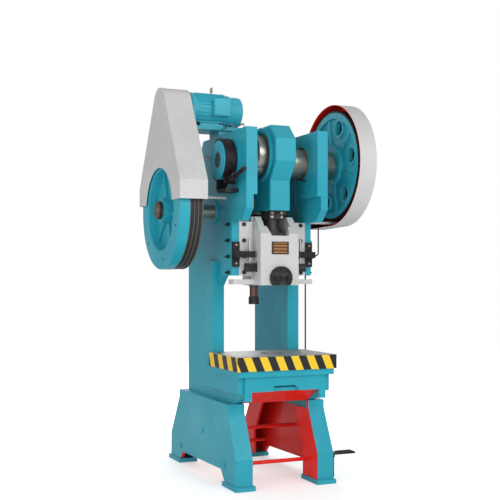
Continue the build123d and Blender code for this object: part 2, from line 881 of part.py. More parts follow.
pinion_over = 2           # how far the pinion stands out past the gear, each side
pinion_inner = gear_inner - pinion_over
pinion_width = gear_width + 2 * pinion_over
shaft_over = 6
shaft_proud = 2
with BuildPart() as pinion:
    gear_blank(pinion_inner, back_axis, teeth_pinion, pinion_angle + 180 + 180 / teeth_pinion, 2,
               pinion_width)
    disc(across(pinion_inner), [back_axis], back_shaft_r + seat, pinion_width, Mode.SUBTRACT)
save(pinion, "pinion")

with BuildPart() as back_shaft:
    disc(across(flywheel_outer - shaft_proud), [back_axis], back_shaft_r,
         pinion_inner + pinion_width + shaft_over - flywheel_outer + shaft_proud)
save(back_shaft, "back_shaft")

# Gear guard: a drum open towards the frame, wide enough for the pinion
guard_depth = gear_guard_outer - gear_guard_inner
with BuildPart() as gear_guard:
    hull(across(gear_guard_inner), [(crank_axis, gear_guard_r), (back_axis, pinion_guard_r)],
         guard_depth)
    hull(across(gear_guard_inner), [(crank_axis, gear_guard_r - guard_sheet),
                                    (back_axis, pinion_guard_r - guard_sheet)],
         guard_depth - guard_sheet, mode=Mode.SUBTRACT)
save(gear_guard, "gear_guard")

# Flywheel: heavy rim, three vee grooves, dished web with ribs, and its end cap
radial = Plane(origin=(0, back_y, back_z), x_dir=(1, 0, 0), z_dir=(0, -1, 0))
web_left = -520
web_right = web_left + flywheel_web
hub_inset = 4
hub_left = flywheel_outer + hub_inset
hub_right = flywheel_inner - hub_inset
groove_inset = 15
groove_first = flywheel_belt_side + groove_inset
rim_root = 44             # how far the rim's inside lies from the recess on the belts' side
web_root = 30
hub_taper = 6
web_taper = 8
wheel_bevel = 5
wheel_rib_count = 6
wheel_rib_wide = 22
wheel_rib_high = 12
wheel_rib_turn = 15
wheel_outline = [(flywheel_outer + wheel_bevel, flywheel_recess_r),
                 (flywheel_outer, flywheel_recess_r + wheel_bevel),
                 (flywheel_outer, flywheel_r - wheel_bevel),
                 (flywheel_outer + wheel_bevel, flywheel_r),
                 (flywheel_belt_side, flywheel_r), (flywheel_belt_side, belt_r)]
for step in range(groove_count):
    middle = groove_first + step * groove_pitch
    wheel_outline += [(middle - groove_top / 2, belt_r),
                      (middle - groove_floor / 2, belt_r - groove_depth),
                      (middle + groove_floor / 2, belt_r - groove_depth),
                      (middle + groove_top / 2, belt_r)]
wheel_outline += [
    (flywheel_inner, belt_r), (flywheel_inner, flywheel_recess_r + rim_root),
    (web_right, flywheel_recess_r + web_root), (web_right, flywheel_hub_r), (hub_right, flywheel_hub_r),
    (hub_right, back_shaft_r + seat), (hub_left, back_shaft_r + seat),
    (hub_left, flywheel_hub_r - hub_taper), (web_left, flywheel_hub_r),
    (web_left, flywheel_recess_r - web_taper),
]
with BuildPart() as flywheel:
    with BuildSketch(radial) as half:
        with BuildLine():
            Polyline(*wheel_outline, close=True)
        make_face()
    revolve(half.sketch, axis=Axis((0, back_y, back_z), (1, 0, 0)))
    with BuildSketch(across(web_left - wheel_rib_high)) as ribs:
        with Locations(back_axis):
            with PolarLocations((flywheel_recess_r + flywheel_hub_r) / 2, wheel_rib_count,
                                start_angle=wheel_rib_turn):
                Rectangle(flywheel_recess_r - flywheel_hub_r, wheel_rib_wide)
    extrude(ribs.sketch, amount=wheel_rib_high + 1)
save(flywheel, "flywheel")

cap_chamfer = 3
with BuildPart() as flywheel_cap:
    disc(across(flywheel_cap_end), [back_axis], flywheel_cap_r,
         flywheel_outer - shaft_proud - flywheel_cap_end)
    chamfer(flywheel_cap.faces().sort_by(Axis.X)[0].edges(), cap_chamfer)
save(flywheel_cap, "flywheel_cap")

# Motor, its pulley and the belts
motor_axis = (motor_y, motor_z)
fin_count = 28
fin_thick = 3
shield_thick = 22
fin_left = motor_left + 40
fin_right = motor_right - 12
foot_left = motor_left + 50
foot_right = motor_right - 40
foot_inset = 10
foot_high = 12
stool_half = 60
stool_lap = 30
with BuildPart() as motor_housing:
    disc(across(motor_left + shield_thick), [motor_axis], motor_r,
         motor_right - motor_left - shield_thick)
    with BuildSketch(across(fin_left)) as fins:
        with Locations(motor_axis):
            with PolarLocations(motor_r, fin_count):
                Rectangle(2 * motor_fin, fin_thick)
    extrude(fins.sketch, amount=fin_right - fin_left)
    bar(across(foot_left), (motor_base_front + foot_inset, motor_base_top),
        (motor_base_rear - foot_inset, motor_base_top + foot_high), foot_right - foot_left)
    bar(across(foot_left), (motor_y - stool_half, motor_base_top + foot_high),
        (motor_y + stool_half, motor_z - motor_r + stool_lap), foot_right - foot_left)
save(motor_housing, "motor_housing")

shield_play = 4
shield_chamfer = 8
with BuildPart() as motor_end_shield:
    disc(across(motor_left), [motor_axis], motor_r + motor_fin, shield_thick)
    disc(across(motor_left), [motor_axis], motor_shaft_r + shield_play, shield_thick, Mode.SUBTRACT)
    chamfer(motor_end_shield.faces().sort_by(Axis.X)[0].edges().sort_by(SortBy.LENGTH)[-1:],
            shield_chamfer)
save(motor_end_shield, "motor_end_shield")

cover_flange = 16
cover_flange_over = 6
cover_round = 14
with BuildPart() as motor_fan_cover:
    disc(across(motor_right), [motor_axis], fan_cover_r + cover_flange_over, cover_flange)
    disc(across(motor_right + cover_flange), [motor_axis], fan_cover_r,
         fan_cover_right - motor_right - cover_flange)
    fillet(motor_fan_cover.faces().sort_by(Axis.X)[-1].edges(), cover_round)
save(motor_fan_cover, "motor_fan_cover")

box_left = -290
box_right = -191
box_low = 2072
box_high = 2172
box_deep = 18
box_round = 8
with BuildPart() as motor_terminal_box:
    bar(facing(motor_y - motor_r - motor_fin), (box_left, box_low), (box_right, box_high), box_deep)
    fillet(motor_terminal_box.edges().filter_by(Axis.Y), box_round)
save(motor_terminal_box, "motor_terminal_box")

eye_x = -264
eye_r = 13
eye_wire = 4
eye_stem_r = 5
eye_stem = 12
eye_up = 22
motor_crown = motor_z + motor_r + motor_fin
with BuildPart() as motor_eyebolt:
    disc(level(motor_crown), [(eye_x, motor_y)], eye_stem_r, eye_stem)
    with Locations(Location((eye_x, motor_y, motor_crown + eye_up), (0, 90, 0))):
        Torus(eye_r, eye_wire)
save(motor_eyebolt, "motor_eyebolt")

rail_low = frame_top
plate_under = 20
base_left = motor_left + 15
base_right = side_inner - 60
rail_inset = 20
with BuildPart() as motor_base:
    bar(level(motor_base_top - plate_under), (base_left, motor_base_front),
        (base_right, motor_base_rear), plate_under)
    bar(level(rail_low), (-side_outer, motor_base_front + rail_inset),
        (base_right, motor_base_rear - rail_inset), motor_base_top - plate_under - rail_low)
save(motor_base, "motor_base")

pulley_wall = 30
pulley_web = 6
pulley_hollow_r = pulley_r - pulley_wall
pulley_outline = [(flywheel_belt_side, pulley_hollow_r), (flywheel_belt_side, pulley_r)]
for step in range(groove_count):
    middle = groove_first + step * groove_pitch
    pulley_outline += [(middle - groove_top / 2, pulley_r),
                       (middle - groove_floor / 2, pulley_r - groove_depth),
                       (middle + groove_floor / 2, pulley_r - groove_depth),
                       (middle + groove_top / 2, pulley_r)]
pulley_outline += [(flywheel_inner, pulley_r), (flywheel_inner, pulley_hollow_r),
                   (flywheel_inner + pulley_web, pulley_hollow_r),
                   (flywheel_inner + pulley_web, motor_shaft_r + seat),
                   (flywheel_belt_side, motor_shaft_r + seat)]
motor_radial = Plane(origin=(0, motor_y, motor_z), x_dir=(1, 0, 0), z_dir=(0, -1, 0))
with BuildPart() as motor_pulley:
    with BuildSketch(motor_radial) as half:
        with BuildLine():
            Polyline(*pulley_outline, close=True)
        make_face()
    revolve(half.sketch, axis=Axis((0, motor_y, motor_z), (1, 0, 0)))
save(motor_pulley, "motor_pulley")

motor_shaft_left = flywheel_belt_side + 4
motor_shaft_right = motor_left + shield_thick - 1
with BuildPart() as motor_shaft:
    disc(across(motor_shaft_left), [motor_axis], motor_shaft_r,
         motor_shaft_right - motor_shaft_left)
save(motor_shaft, "motor_shaft")

with BuildPart() as drive_belts:
    for step in range(groove_count):
        start = across(groove_first + step * groove_pitch - belt_width / 2)
        outer = [(back_axis, belt_r - belt_drop), (motor_axis, pulley_r - belt_drop)]
        inner = [(centre, radius - belt_thick) for centre, radius in outer]
        hull(start, outer, belt_width)
        hull(start, inner, belt_width, mode=Mode.SUBTRACT)
save(drive_belts, "drive_belts")

# Belt guard: a folded sheet shell round the belts, open below and at the flywheel's hub
guard_rear = 2 * back_y - belt_guard_front_low
guard_fold_r = 8
guard_top_lift = 12
guard_base = ((belt_guard_front_low, belt_guard_bottom), (guard_rear, belt_guard_bottom))
inner_base = ((belt_guard_front_low + guard_sheet, belt_guard_bottom),
              (guard_rear - guard_sheet, belt_guard_bottom))
guard_rounds = [((motor_y, motor_z + guard_top_lift), belt_guard_top_r),
                ((belt_guard_front_low + guard_fold_r, belt_guard_corner), guard_fold_r),
                ((guard_rear - guard_fold_r, belt_guard_corner), guard_fold_r)]
inner_rounds = [(centre, radius - guard_sheet) for centre, radius in guard_rounds]
guard_width = belt_guard_right - belt_guard_left
guard_hole = flywheel_recess_r + belt_guard_hole_gap
with BuildPart() as belt_guard:
    hull(across(belt_guard_left), guard_rounds, guard_width, guard_base)
    hull(across(belt_guard_left + guard_sheet), inner_rounds, guard_width - 2 * guard_sheet,
         inner_base, Mode.SUBTRACT)
    bar(level(belt_guard_bottom), (belt_guard_left + guard_sheet, belt_guard_front_low + guard_sheet),
        (belt_guard_right - guard_sheet, guard_rear - guard_sheet), guard_sheet, Mode.SUBTRACT)
    disc(across(belt_guard_left), [back_axis], guard_hole, guard_width, Mode.SUBTRACT)
    disc(across(belt_guard_right - guard_sheet), [motor_axis], guard_shaft_hole_r, guard_sheet,
         Mode.SUBTRACT)
save(belt_guard, "belt_guard")

stay_low = (298, 1600)
stay_high = (550, 1853)
stay_r = 8
gear_stay_reach = (gear_guard_r + gear_tip_r) / 2
gear_stay_angles = (-81, 10)
with BuildPart() as guard_stays:
    disc(across(belt_guard_right), [stay_low, stay_high], stay_r,
         -side_outer - belt_guard_right)
    disc(across(side_outer), [around_crank(angle, gear_stay_reach) for angle in gear_stay_angles],
         stay_r, gear_guard_outer - guard_sheet - side_outer)
save(guard_stays, "guard_stays")

# Pedal, pull rod and clutch lever on the right-hand side
pin_r = 6
eye_half = 5              # half the width of the pull rod's eyes
eye_outer_r = 14
eye_play = 1
arm_x = rod_x - eye_half
crank_pin = lever_thick + 4
plate_up = 4
plate_down = 8
rod_end_gap = 4
pedal_pivot = (lever_pivot_y, pedal_z)
lever_half = 13
pivot_half = lever_half + 4
clutch_half = lever_half + 6
with BuildPart() as pedal:
    hull(across(arm_x - lever_thick / 2), [(pedal_pivot, pivot_half),
                                           ((pedal_plate_front + lever_half, pedal_z), lever_half)],
         lever_thick)
    bar(level(pedal_z + plate_up), (arm_x, pedal_plate_front),
        (pedal_plate_right, pedal_plate_rear), plate_down)
    disc(across(arm_x - lever_thick / 2), [pedal_pivot], pin_r + gap, lever_thick, Mode.SUBTRACT)
    disc(across(arm_x + lever_thick / 2), [(rod_y, pedal_z)], pin_r, crank_pin)
save(pedal, "pedal")

guide_front = leg_front_foot + 2
with BuildPart() as pedal_guide:
    bar(across(leg_outer), (guide_front, guide_low), (guide_front + guide_width, guide_high),
        guide_thick)
save(pedal_guide, "pedal_guide")

eye_x0 = arm_x + lever_thick / 2 + gap
with BuildPart() as pull_rod:
    eyes = [(rod_y, pedal_z), (rod_y, clutch_z)]
    disc(level(pedal_z + pin_r + rod_end_gap), [(eye_x0 + eye_half, rod_y)], rod_r,
         clutch_z - pedal_z - 2 * (pin_r + rod_end_gap))
    disc(across(eye_x0), eyes, eye_outer_r, 2 * eye_half)
    disc(across(eye_x0), eyes, pin_r + eye_play, 2 * eye_half, Mode.SUBTRACT)
save(pull_rod, "pull_rod")

clutch_pivot = (lever_pivot_y, clutch_z)
trip_end = (300, 1600)
trip_r = 9
with BuildPart() as clutch_lever:
    hull(across(arm_x - lever_thick / 2), [(clutch_pivot, clutch_half),
                                           ((rod_y, clutch_z), lever_half)], lever_thick)
    hull(across(arm_x - lever_thick / 2), [(clutch_pivot, clutch_half), (trip_end, trip_r)],
         lever_thick)
    disc(across(arm_x - lever_thick / 2), [clutch_pivot], pin_r + gap, lever_thick, Mode.SUBTRACT)
    disc(across(arm_x + lever_thick / 2), [(rod_y, clutch_z)], pin_r, crank_pin)
save(clutch_lever, "clutch_lever")

pin_over = 6
pin_end = arm_x + lever_thick / 2 + pin_over
pin_stop = arm_x - lever_thick / 2 - gap
with BuildPart() as pivot_pins:
    disc(across(leg_outer), [pedal_pivot], pin_r, pin_end - leg_outer)
    disc(across(leg_outer), [pedal_pivot], 2 * pin_r, pin_stop - leg_outer)
    disc(across(side_outer), [clutch_pivot], pin_r, pin_end - side_outer)
    disc(across(side_outer), [clutch_pivot], 3 * pin_r, pin_stop - side_outer)
save(pivot_pins, "pivot_pins")

# Lubricator under the head, with its tube
oiler_x = -35
oiler_y = 388
oiler_r = 30
glass_r = 24
glass_low = 1040
glass_high = 1100
oiler_low = 996
with BuildPart() as lubricator:
    disc(level(glass_high), [(oiler_x, oiler_y)], oiler_r, head_bottom - glass_high)
    disc(level(glass_low), [(oiler_x, oiler_y)], glass_r, glass_high - glass_low)
    disc(level(oiler_low), [(oiler_x, oiler_y)], oiler_r, glass_low - oiler_low)
save(lubricator, "lubricator")

# Oil tubes: to the right gib, from the gear guard to the frame, and over the left block
tube_r = 4
guard_low_z = 1444.2
guard_tube_x = 385
guard_tube_y = 385
guard_tube_out_z = 1262
top_tube_x = -225
top_tube_y = 90
top_tube_end_z = 2004
gib_tube_y = 150
gib_tube_z = 1700
gib_tube_low = 1510
gib_tube_end = (160, 225)
oil_lines = [
    [(block_inner, gib_tube_y, gib_tube_z), (105, gib_tube_y, gib_tube_z),
     (125, gib_tube_y, gib_tube_low), (*gib_tube_end, gib_tube_low), (*gib_tube_end, block_under)],
    [(guard_tube_x, guard_tube_y, guard_low_z), (guard_tube_x, guard_tube_y, 1290),
     (340, guard_tube_y, guard_tube_out_z), (side_outer, guard_tube_y, guard_tube_out_z)],
    [(top_tube_x, top_tube_y, frame_top), (top_tube_x, top_tube_y, 1992),
     (top_tube_x, 210, 1985), (top_tube_x, 290, 2022), (top_tube_x, 350, top_tube_end_z),
     (top_tube_x, motor_base_front, top_tube_end_z)],
]
tube_bend = 12
with BuildPart() as oil_tubes:
    for points in oil_lines:
        tube(points, tube_bend, tube_r)
save(oil_tubes, "oil_tubes")
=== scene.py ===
import bmesh
import bpy
import math
from mathutils import Matrix, Vector


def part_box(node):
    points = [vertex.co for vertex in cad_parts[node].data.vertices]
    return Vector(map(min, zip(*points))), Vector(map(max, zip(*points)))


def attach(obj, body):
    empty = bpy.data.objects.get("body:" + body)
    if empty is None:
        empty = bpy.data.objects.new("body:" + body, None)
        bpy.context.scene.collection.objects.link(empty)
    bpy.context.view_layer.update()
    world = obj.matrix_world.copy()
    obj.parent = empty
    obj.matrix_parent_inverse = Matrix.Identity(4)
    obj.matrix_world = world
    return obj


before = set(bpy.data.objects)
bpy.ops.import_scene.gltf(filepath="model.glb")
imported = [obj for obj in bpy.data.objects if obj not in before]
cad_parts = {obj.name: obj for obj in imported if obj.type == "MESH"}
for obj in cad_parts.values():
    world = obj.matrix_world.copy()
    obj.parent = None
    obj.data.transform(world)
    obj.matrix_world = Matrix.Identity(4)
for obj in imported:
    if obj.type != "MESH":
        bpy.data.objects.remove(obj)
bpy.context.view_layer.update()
print("frame loaded:", len(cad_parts), "pieces")


def corners(node):
    return [Vector(corner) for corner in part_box(node)]


def middleOf(node):
    low, high = corners(node)
    return (low + high) / 2


# Axes that finishes and small parts are placed by, read from the frame
midX = middleOf("bolster").x
crankAxis = middleOf("brake_drum")
wheelAxis = middleOf("flywheel")
motorAxis = middleOf("motor_shaft")
print("axes read from the frame")


class Wire:
    # one output socket, with arithmetic on values
    def __init__(self, finish, socket):
        self.finish = finish
        self.socket = socket

    def calc(self, operation, first, second):
        return self.finish.node("Math", {"operation": operation}, {0: first, 1: second})

    def __add__(self, other):
        return self.calc("ADD", self, other)

    def __radd__(self, other):
        return self.calc("ADD", other, self)

    def __sub__(self, other):
        return self.calc("SUBTRACT", self, other)

    def __rsub__(self, other):
        return self.calc("SUBTRACT", other, self)

    def __mul__(self, other):
        return self.calc("MULTIPLY", self, other)

    def __rmul__(self, other):
        return self.calc("MULTIPLY", other, self)

    def __truediv__(self, other):
        return self.calc("DIVIDE", self, other)

    def __pow__(self, other):
        return self.calc("POWER", self, other)

    def __gt__(self, other):
        return self.calc("GREATER_THAN", self, other)

    def __lt__(self, other):
        return self.calc("LESS_THAN", self, other)

    def __abs__(self):
        return self.finish.node("Math", {"operation": "ABSOLUTE"}, {0: self})

    def bigger(self, other):
        return self.calc("MAXIMUM", self, other)


class Finish:
    # a material in the making: node() adds any node and gives back one of its outputs
    def __init__(self, name, **fixed):
        self.material = bpy.data.materials.new(name)
        self.material.use_nodes = True
        self.tree = self.material.node_tree
        self.shader = self.tree.nodes["Principled BSDF"]
        for socket, value in fixed.items():
            self.shader.inputs[socket.replace("_", " ")].default_value = value
        self.place = self.node("TexCoord", out="Object")
        self.facing = self.node("NewGeometry", out="Normal")

    def node(self, kind, settings=None, sockets=None, out=0):
        made = self.tree.nodes.new("ShaderNode" + kind)
        for key, value in (settings or {}).items():
            setattr(made, key, value)
        for key, value in (sockets or {}).items():
            if isinstance(value, Wire):
                self.tree.links.new(value.socket, made.inputs[key])
            else:
                made.inputs[key].default_value = value
        return Wire(self, made.outputs[out])

    def axis(self, letter, source=None):
        return self.node("SeparateXYZ", sockets={0: source or self.place}, out=letter)

    def noise(self, scale, detail=4.0, stretch=None):
        place = self.place
        if stretch:
            place = self.node("Mapping", sockets={"Vector": place, "Scale": stretch})
        return self.node("TexNoise", sockets={
            "Vector": place, "Scale": scale, "Detail": detail, "Roughness": 0.55})

    def ramp(self, value, low, high):
        return self.node("MapRange", {"clamp": True}, {
            "Value": value, "From Min": low, "From Max": high}, out="Result")

    def mix(self, share, first, second):
        return self.node("Mix", {"data_type": "RGBA"}, {0: share, 6: first, 7: second}, out=2)

    def distanceFrom(self, point):
        # how far the surface is from an axis that runs along X
        across = self.axis("Y") - point.y
        up = self.axis("Z") - point.z
        return (across * across + up * up) ** 0.5

    def feed(self, socket, value):
        self.tree.links.new(value.socket, self.shader.inputs[socket])

    def bump(self, height):
        # height in metres
        made = self.node("Bump", sockets={"Height": height, "Distance": 1.0, "Strength": 1.0},
                         out="Normal")
        self.feed("Normal", made)


def rgb(red, green, blue):
    # a screen colour from 0 to 255, as the linear colour that the shader takes
    parts = [value / 255 for value in (red, green, blue)]
    return tuple(p / 12.92 if p < 0.04045 else ((p + 0.055) / 1.055) ** 2.4 for p in parts) + (1.0,)


enamel = {
    "turquoise": rgb(44, 170, 190),
    "turquoiseShade": rgb(34, 157, 178),
    "motor": rgb(66, 184, 203),
    "motorShade": rgb(50, 170, 190),
    "red": rgb(250, 42, 28),
    "redShade": rgb(236, 32, 22),
    "grey": rgb(212, 212, 211),
    "greyShade": rgb(198, 198, 198),
    "black": rgb(22, 20, 22),
    "blackShade": rgb(33, 30, 32),
    "dust": rgb(128, 134, 130),
    "roughness": 0.3,
    "unevenness": 0.16,
    "specular": 0.26,
    "coat": 0.1,
    "coatRoughness": 0.12,
    "patchScale": 3.2,
    "streakScale": 9.0,
    "streakStretch": (3.0, 3.0, 0.35),
    "dirt": 0.08,
    "footDust": 0.14,
    "footDustTop": 0.2,
    "footDustScale": 30.0,
    "shelfDust": 0.1,
    "peelScale": 420.0,
    "orangePeel": 0.00012,
    "castingScale": 14.0,
    "casting": 0.0009,
}


def enamelFinish(name, tone, rough=enamel["roughness"], where=None, peel=1.0, extra=None):
    # glossy brushed-on enamel; where() gives a mask that is painted red, extra() a last change
    made = Finish(name, Coat_Roughness=enamel["coatRoughness"], Specular_IOR_Level=enamel["specular"])
    patches = made.noise(enamel["patchScale"], 5.0)
    streaks = made.noise(enamel["streakScale"], 3.0, stretch=enamel["streakStretch"])
    shade = made.ramp(patches, 0.3, 0.75)
    colour = made.mix(shade, enamel[tone], enamel[tone + "Shade"])
    if where:
        other = made.mix(shade, enamel["red"], enamel["redShade"])
        colour = made.mix(where(made), colour, other)
    dirt = made.ramp(streaks, 0.58, 0.85) * enamel["dirt"]
    footMarks = made.ramp(made.noise(enamel["footDustScale"]), 0.4, 0.7)
    foot = made.ramp(made.axis("Z"), enamel["footDustTop"], 0.0) * footMarks * enamel["footDust"]
    shelf = made.ramp(made.axis("Z", made.facing), 0.6, 1.0) * enamel["shelfDust"]
    colour = made.mix(dirt.bigger(foot).bigger(shelf), colour, enamel["dust"])
    if extra:
        colour = extra(made, colour)
    made.feed("Base Color", colour)
    made.feed("Roughness", made.ramp(patches, 0.2, 0.8) * enamel["unevenness"] + rough + dirt * 0.8)
    made.feed("Coat Weight", (1.0 - made.ramp(streaks, 0.3, 0.9) * 0.5) * enamel["coat"])
    made.bump(made.noise(enamel["peelScale"], 2.0) * enamel["orangePeel"] * peel
              + made.noise(enamel["castingScale"], 3.0) * enamel["casting"] * peel)
    return made.material


steel = {
    "bright": rgb(205, 200, 190),
    "worn": rgb(150, 143, 132),
    "dark": rgb(38, 37, 38),
    "darkWorn": rgb(92, 88, 84),
    "oil": rgb(64, 54, 42),
    "oilScale": 11.0,
    "oilShare": 0.55,
    "ringScale": 35.0,
    "ringDepth": 0.00004,
    "scratchScale": 160.0,
    "scratchStretch": (6.0, 0.6, 0.6),
    "scratchDepth": 0.00006,
}


def turnedSteel(name, dark=None, tone="bright", worn="worn", rough=0.22, shine=1.0):
    # ground or turned steel with tool rings, oil stains and, if given, a blackened stretch
    made = Finish(name)
    stain = made.ramp(made.noise(steel["oilScale"], 6.0), 0.48, 0.72)
    rings = made.node("TexWave", {"wave_type": "BANDS", "bands_direction": "X"}, {
        "Vector": made.place, "Scale": steel["ringScale"], "Distortion": 1.5, "Detail": 2.0})
    scratches = made.noise(steel["scratchScale"], 3.0, stretch=steel["scratchStretch"])
    colour = made.mix(made.ramp(scratches, 0.35, 0.7), steel[tone], steel[worn])
    colour = made.mix(stain * steel["oilShare"], colour, steel["oil"])
    metal = 1.0 - stain * 0.25
    if dark:
        mask = dark(made)
        colour = made.mix(mask, colour, enamel["black"])
        metal = metal * (1.0 - mask * 0.8)
    made.feed("Base Color", colour)
    made.feed("Metallic", metal * shine)
    made.feed("Roughness", made.ramp(scratches, 0.2, 0.8) * 0.2 + rough + stain * 0.2)
    made.bump(rings * steel["ringDepth"] + scratches * steel["scratchDepth"])
    return made.material


blackened = {"rubScale": 26.0, "shine": 0.275, "roughness": 0.42, "grainScale": 220.0, "grain": 0.00025}


def blackOxide():
    # blackened steel, rubbed on its high places
    made = Finish("blackOxide")
    rub = made.ramp(made.noise(blackened["rubScale"], 6.0), 0.5, 0.78)
    made.feed("Base Color", made.mix(rub, enamel["black"], steel["darkWorn"]))
    made.feed("Metallic", rub * 0.4 + blackened["shine"])
    spots = made.ramp(made.noise(60.0), 0.3, 0.7)
    made.feed("Roughness", spots * 0.2 + blackened["roughness"] - rub * 0.1)
    made.bump(made.noise(blackened["grainScale"], 3.0) * blackened["grain"])
    return made.material


print("finishes ready")


# Where each two-coloured piece changes colour, in metres from its edges or its axis
change = {
    "legEnds": 0.28,
    "legFoot": 0.0245,
    "legTop": 0.0005,
    "tableFront": 0.0375,
    "tableTop": 0.1,
    "guardInward": 0.02,
    "gearTeethFrom": 0.3055,
    "groovesFrom": 0.3,
    "groovesAside": 0.009,
    "crankEnd": 0.034,
    "topTube": 0.05,
}


def legInside(made):
    # red inside the leg; its outer side, both end faces, its foot and its top stay turquoise
    side = made.axis("X") - midX
    outward = made.node("Math", {"operation": "SIGN"}, {0: side}) * made.axis("X", made.facing)
    low, high = corners("leg_left")
    middle = (low.y + high.y) / 2
    endways = made.axis("Y", made.facing)
    front = (endways < -0.5) * (made.axis("Y") < middle - change["legEnds"])
    back = (endways > 0.5) * (made.axis("Y") > middle + change["legEnds"])
    foot = made.axis("Z") < change["legFoot"]
    top = made.axis("Z") > high.z - change["legTop"]
    return 1.0 - (outward > 0.5).bigger(front).bigger(back).bigger(foot).bigger(top)


def tableUnderside(made):
    low, high = corners("table")
    behind = made.axis("Y") > low.y + change["tableFront"]
    below = made.axis("Z") < high.z - change["tableTop"]
    return behind * below


def guardInside(made):
    # the side of the sheet that looks to the crank axis, and the one that looks to the left
    across = made.axis("Y", made.facing) * (made.axis("Y") - crankAxis.y)
    up = made.axis("Z", made.facing) * (made.axis("Z") - crankAxis.z)
    inward = (across + up) < -change["guardInward"]
    return inward.bigger(made.axis("X", made.facing) < -0.5)


def gearTeeth(made, colour):
    teeth = made.distanceFrom(crankAxis) > change["gearTeethFrom"]
    return made.mix(teeth, colour, steel["dark"])


def wheelGrooves(made, colour):
    # the grooved part of the rim, from just left of the belts to the right
    rim = made.distanceFrom(wheelAxis) > change["groovesFrom"]
    grooved = made.axis("X") > corners("drive_belts")[0].x - change["groovesAside"]
    return made.mix(rim * grooved, colour, steel["darkWorn"])


def shaftEndBlack(made):
    return made.axis("X") < crankAxis.x + change["crankEnd"]


def lowTubesBlack(made):
    # only the tube over the left block is bare
    return made.axis("Z") < corners("side_frame_left")[1].z - change["topTube"]


bands = {
    "yellow": rgb(246, 205, 40),
    "black": rgb(24, 24, 26),
    "pitch": 0.094,
    "sidePitch": 0.132,
    "sideShift": 0.02,
    "slant": 0.42,
    "bandsAhead": 40.0,
    "chipShare": 0.7,
    "edgeDepth": 0.0025,
    "belowTop": 0.0012,
    "steel": rgb(178, 176, 172),
    "steelShade": rgb(140, 139, 137),
    "oilShare": 0.35,
    "markStretch": (0.8, 14.0, 1.0),
    "markDepth": 0.0002,
    "grain": 0.0001,
}


def bolsterFinish():
    # machined top with tool marks, slanted warning stripes round the edges
    made = Finish("bolsterSteel")
    low, high = corners("bolster")
    half = (high - low) / 2
    side = abs(made.axis("X", made.facing)) > 0.7
    along = made.node("Mix", {"data_type": "FLOAT"}, {
        0: side, 2: made.axis("X"), 3: made.axis("Y") * -1.0 + bands["sideShift"]})
    pitch = made.node("Mix", {"data_type": "FLOAT"}, {
        0: side, 2: bands["pitch"], 3: bands["sidePitch"]})
    run = (along + made.axis("Z") * bands["slant"]) / pitch + bands["bandsAhead"]
    stripe = made.node("Math", {"operation": "FRACT"}, {0: run}) > 0.5
    chips = made.ramp(made.noise(55.0, 5.0), 0.68, 0.72)
    paint = made.mix(stripe, bands["yellow"], bands["black"])
    paint = made.mix(chips * bands["chipShare"], paint, steel["darkWorn"])
    outerX = abs(made.axis("X") - midX) > half.x - bands["edgeDepth"]
    outerY = abs(made.axis("Y") - (low.y + high.y) / 2) > half.y - bands["edgeDepth"]
    bare = 1.0 - outerX.bigger(outerY) * (made.axis("Z") < high.z - bands["belowTop"])
    marks = made.noise(30.0, 4.0, stretch=bands["markStretch"])
    metal = made.mix(made.ramp(marks, 0.3, 0.7), bands["steel"], bands["steelShade"])
    stain = made.ramp(made.noise(5.0, 6.0), 0.5, 0.75)
    metal = made.mix(stain * bands["oilShare"], metal, steel["oil"])
    grain = made.noise(40.0, 4.0)
    made.feed("Base Color", made.mix(bare, paint, metal))
    made.feed("Metallic", bare * 0.9)
    made.feed("Roughness", bare * 0.08 + 0.34 + grain * 0.12)
    made.bump(marks * bare * bands["markDepth"] + grain * bands["grain"])
    return made.material


plate = {
    "bronze": rgb(112, 78, 50),
    "bronzeShade": rgb(84, 56, 36),
    "field": rgb(176, 126, 78),
    "rows": 4.0,
    "rowsUp": 0.1,
    "fieldHalf": 0.38,
    "borderAcross": 0.455,
    "borderUp": 0.43,
    "fieldHeight": 0.0004,
    "borderHeight": 0.0003,
}


def plateFinish():
    # bronze-coloured name plate without words: a black border and plain raised fields
    made = Finish("plateFinish")
    low, high = corners("nameplate")
    across = (made.axis("X") - low.x) / (high.x - low.x)
    up = (made.axis("Z") - low.z) / (high.z - low.z)
    fromMiddle = abs(across - 0.5)
    border = (fromMiddle > plate["borderAcross"]).bigger(abs(up - 0.5) > plate["borderUp"])
    rows = made.node("Math", {"operation": "FRACT"}, {0: up * plate["rows"] + plate["rowsUp"]}) > 0.55
    fields = rows * (fromMiddle < plate["fieldHalf"])
    grain = made.noise(90.0, 3.0)
    colour = made.mix(made.ramp(grain, 0.3, 0.7), plate["bronze"], plate["bronzeShade"])
    colour = made.mix(fields, colour, plate["field"])
    made.feed("Base Color", made.mix(border, colour, enamel["black"]))
    made.feed("Metallic", (1.0 - border) * 0.6)
    made.feed("Roughness", grain * 0.2 + 0.3)
    made.bump(fields * plate["fieldHeight"] + border * plate["borderHeight"])
    return made.material


bronze = {"cast": rgb(176, 130, 74), "shade": rgb(120, 84, 46), "castScale": 40.0, "grain": 0.0002}


def bronzeFinish():
    made = Finish("bushBronze")
    cast = made.noise(bronze["castScale"], 5.0)
    made.feed("Base Color", made.mix(made.ramp(cast, 0.3, 0.7), bronze["cast"], bronze["shade"]))
    made.feed("Metallic", made.ramp(cast, 0.2, 0.9) * -0.2 + 1.0)
    made.feed("Roughness", cast * 0.25 + 0.25)
    made.bump(cast * bronze["grain"])
    return made.material


rubber = {"black": rgb(26, 26, 27), "dust": rgb(66, 64, 62), "dustShare": 0.6, "grain": 0.0003}


def rubberFinish():
    made = Finish("beltRubber")
    dust = made.ramp(made.noise(50.0, 5.0), 0.45, 0.75)
    made.feed("Base Color", made.mix(dust * rubber["dustShare"], rubber["black"], rubber["dust"]))
    made.feed("Roughness", dust * 0.2 + 0.55)
    made.bump(made.noise(300.0, 2.0) * rubber["grain"])
    return made.material


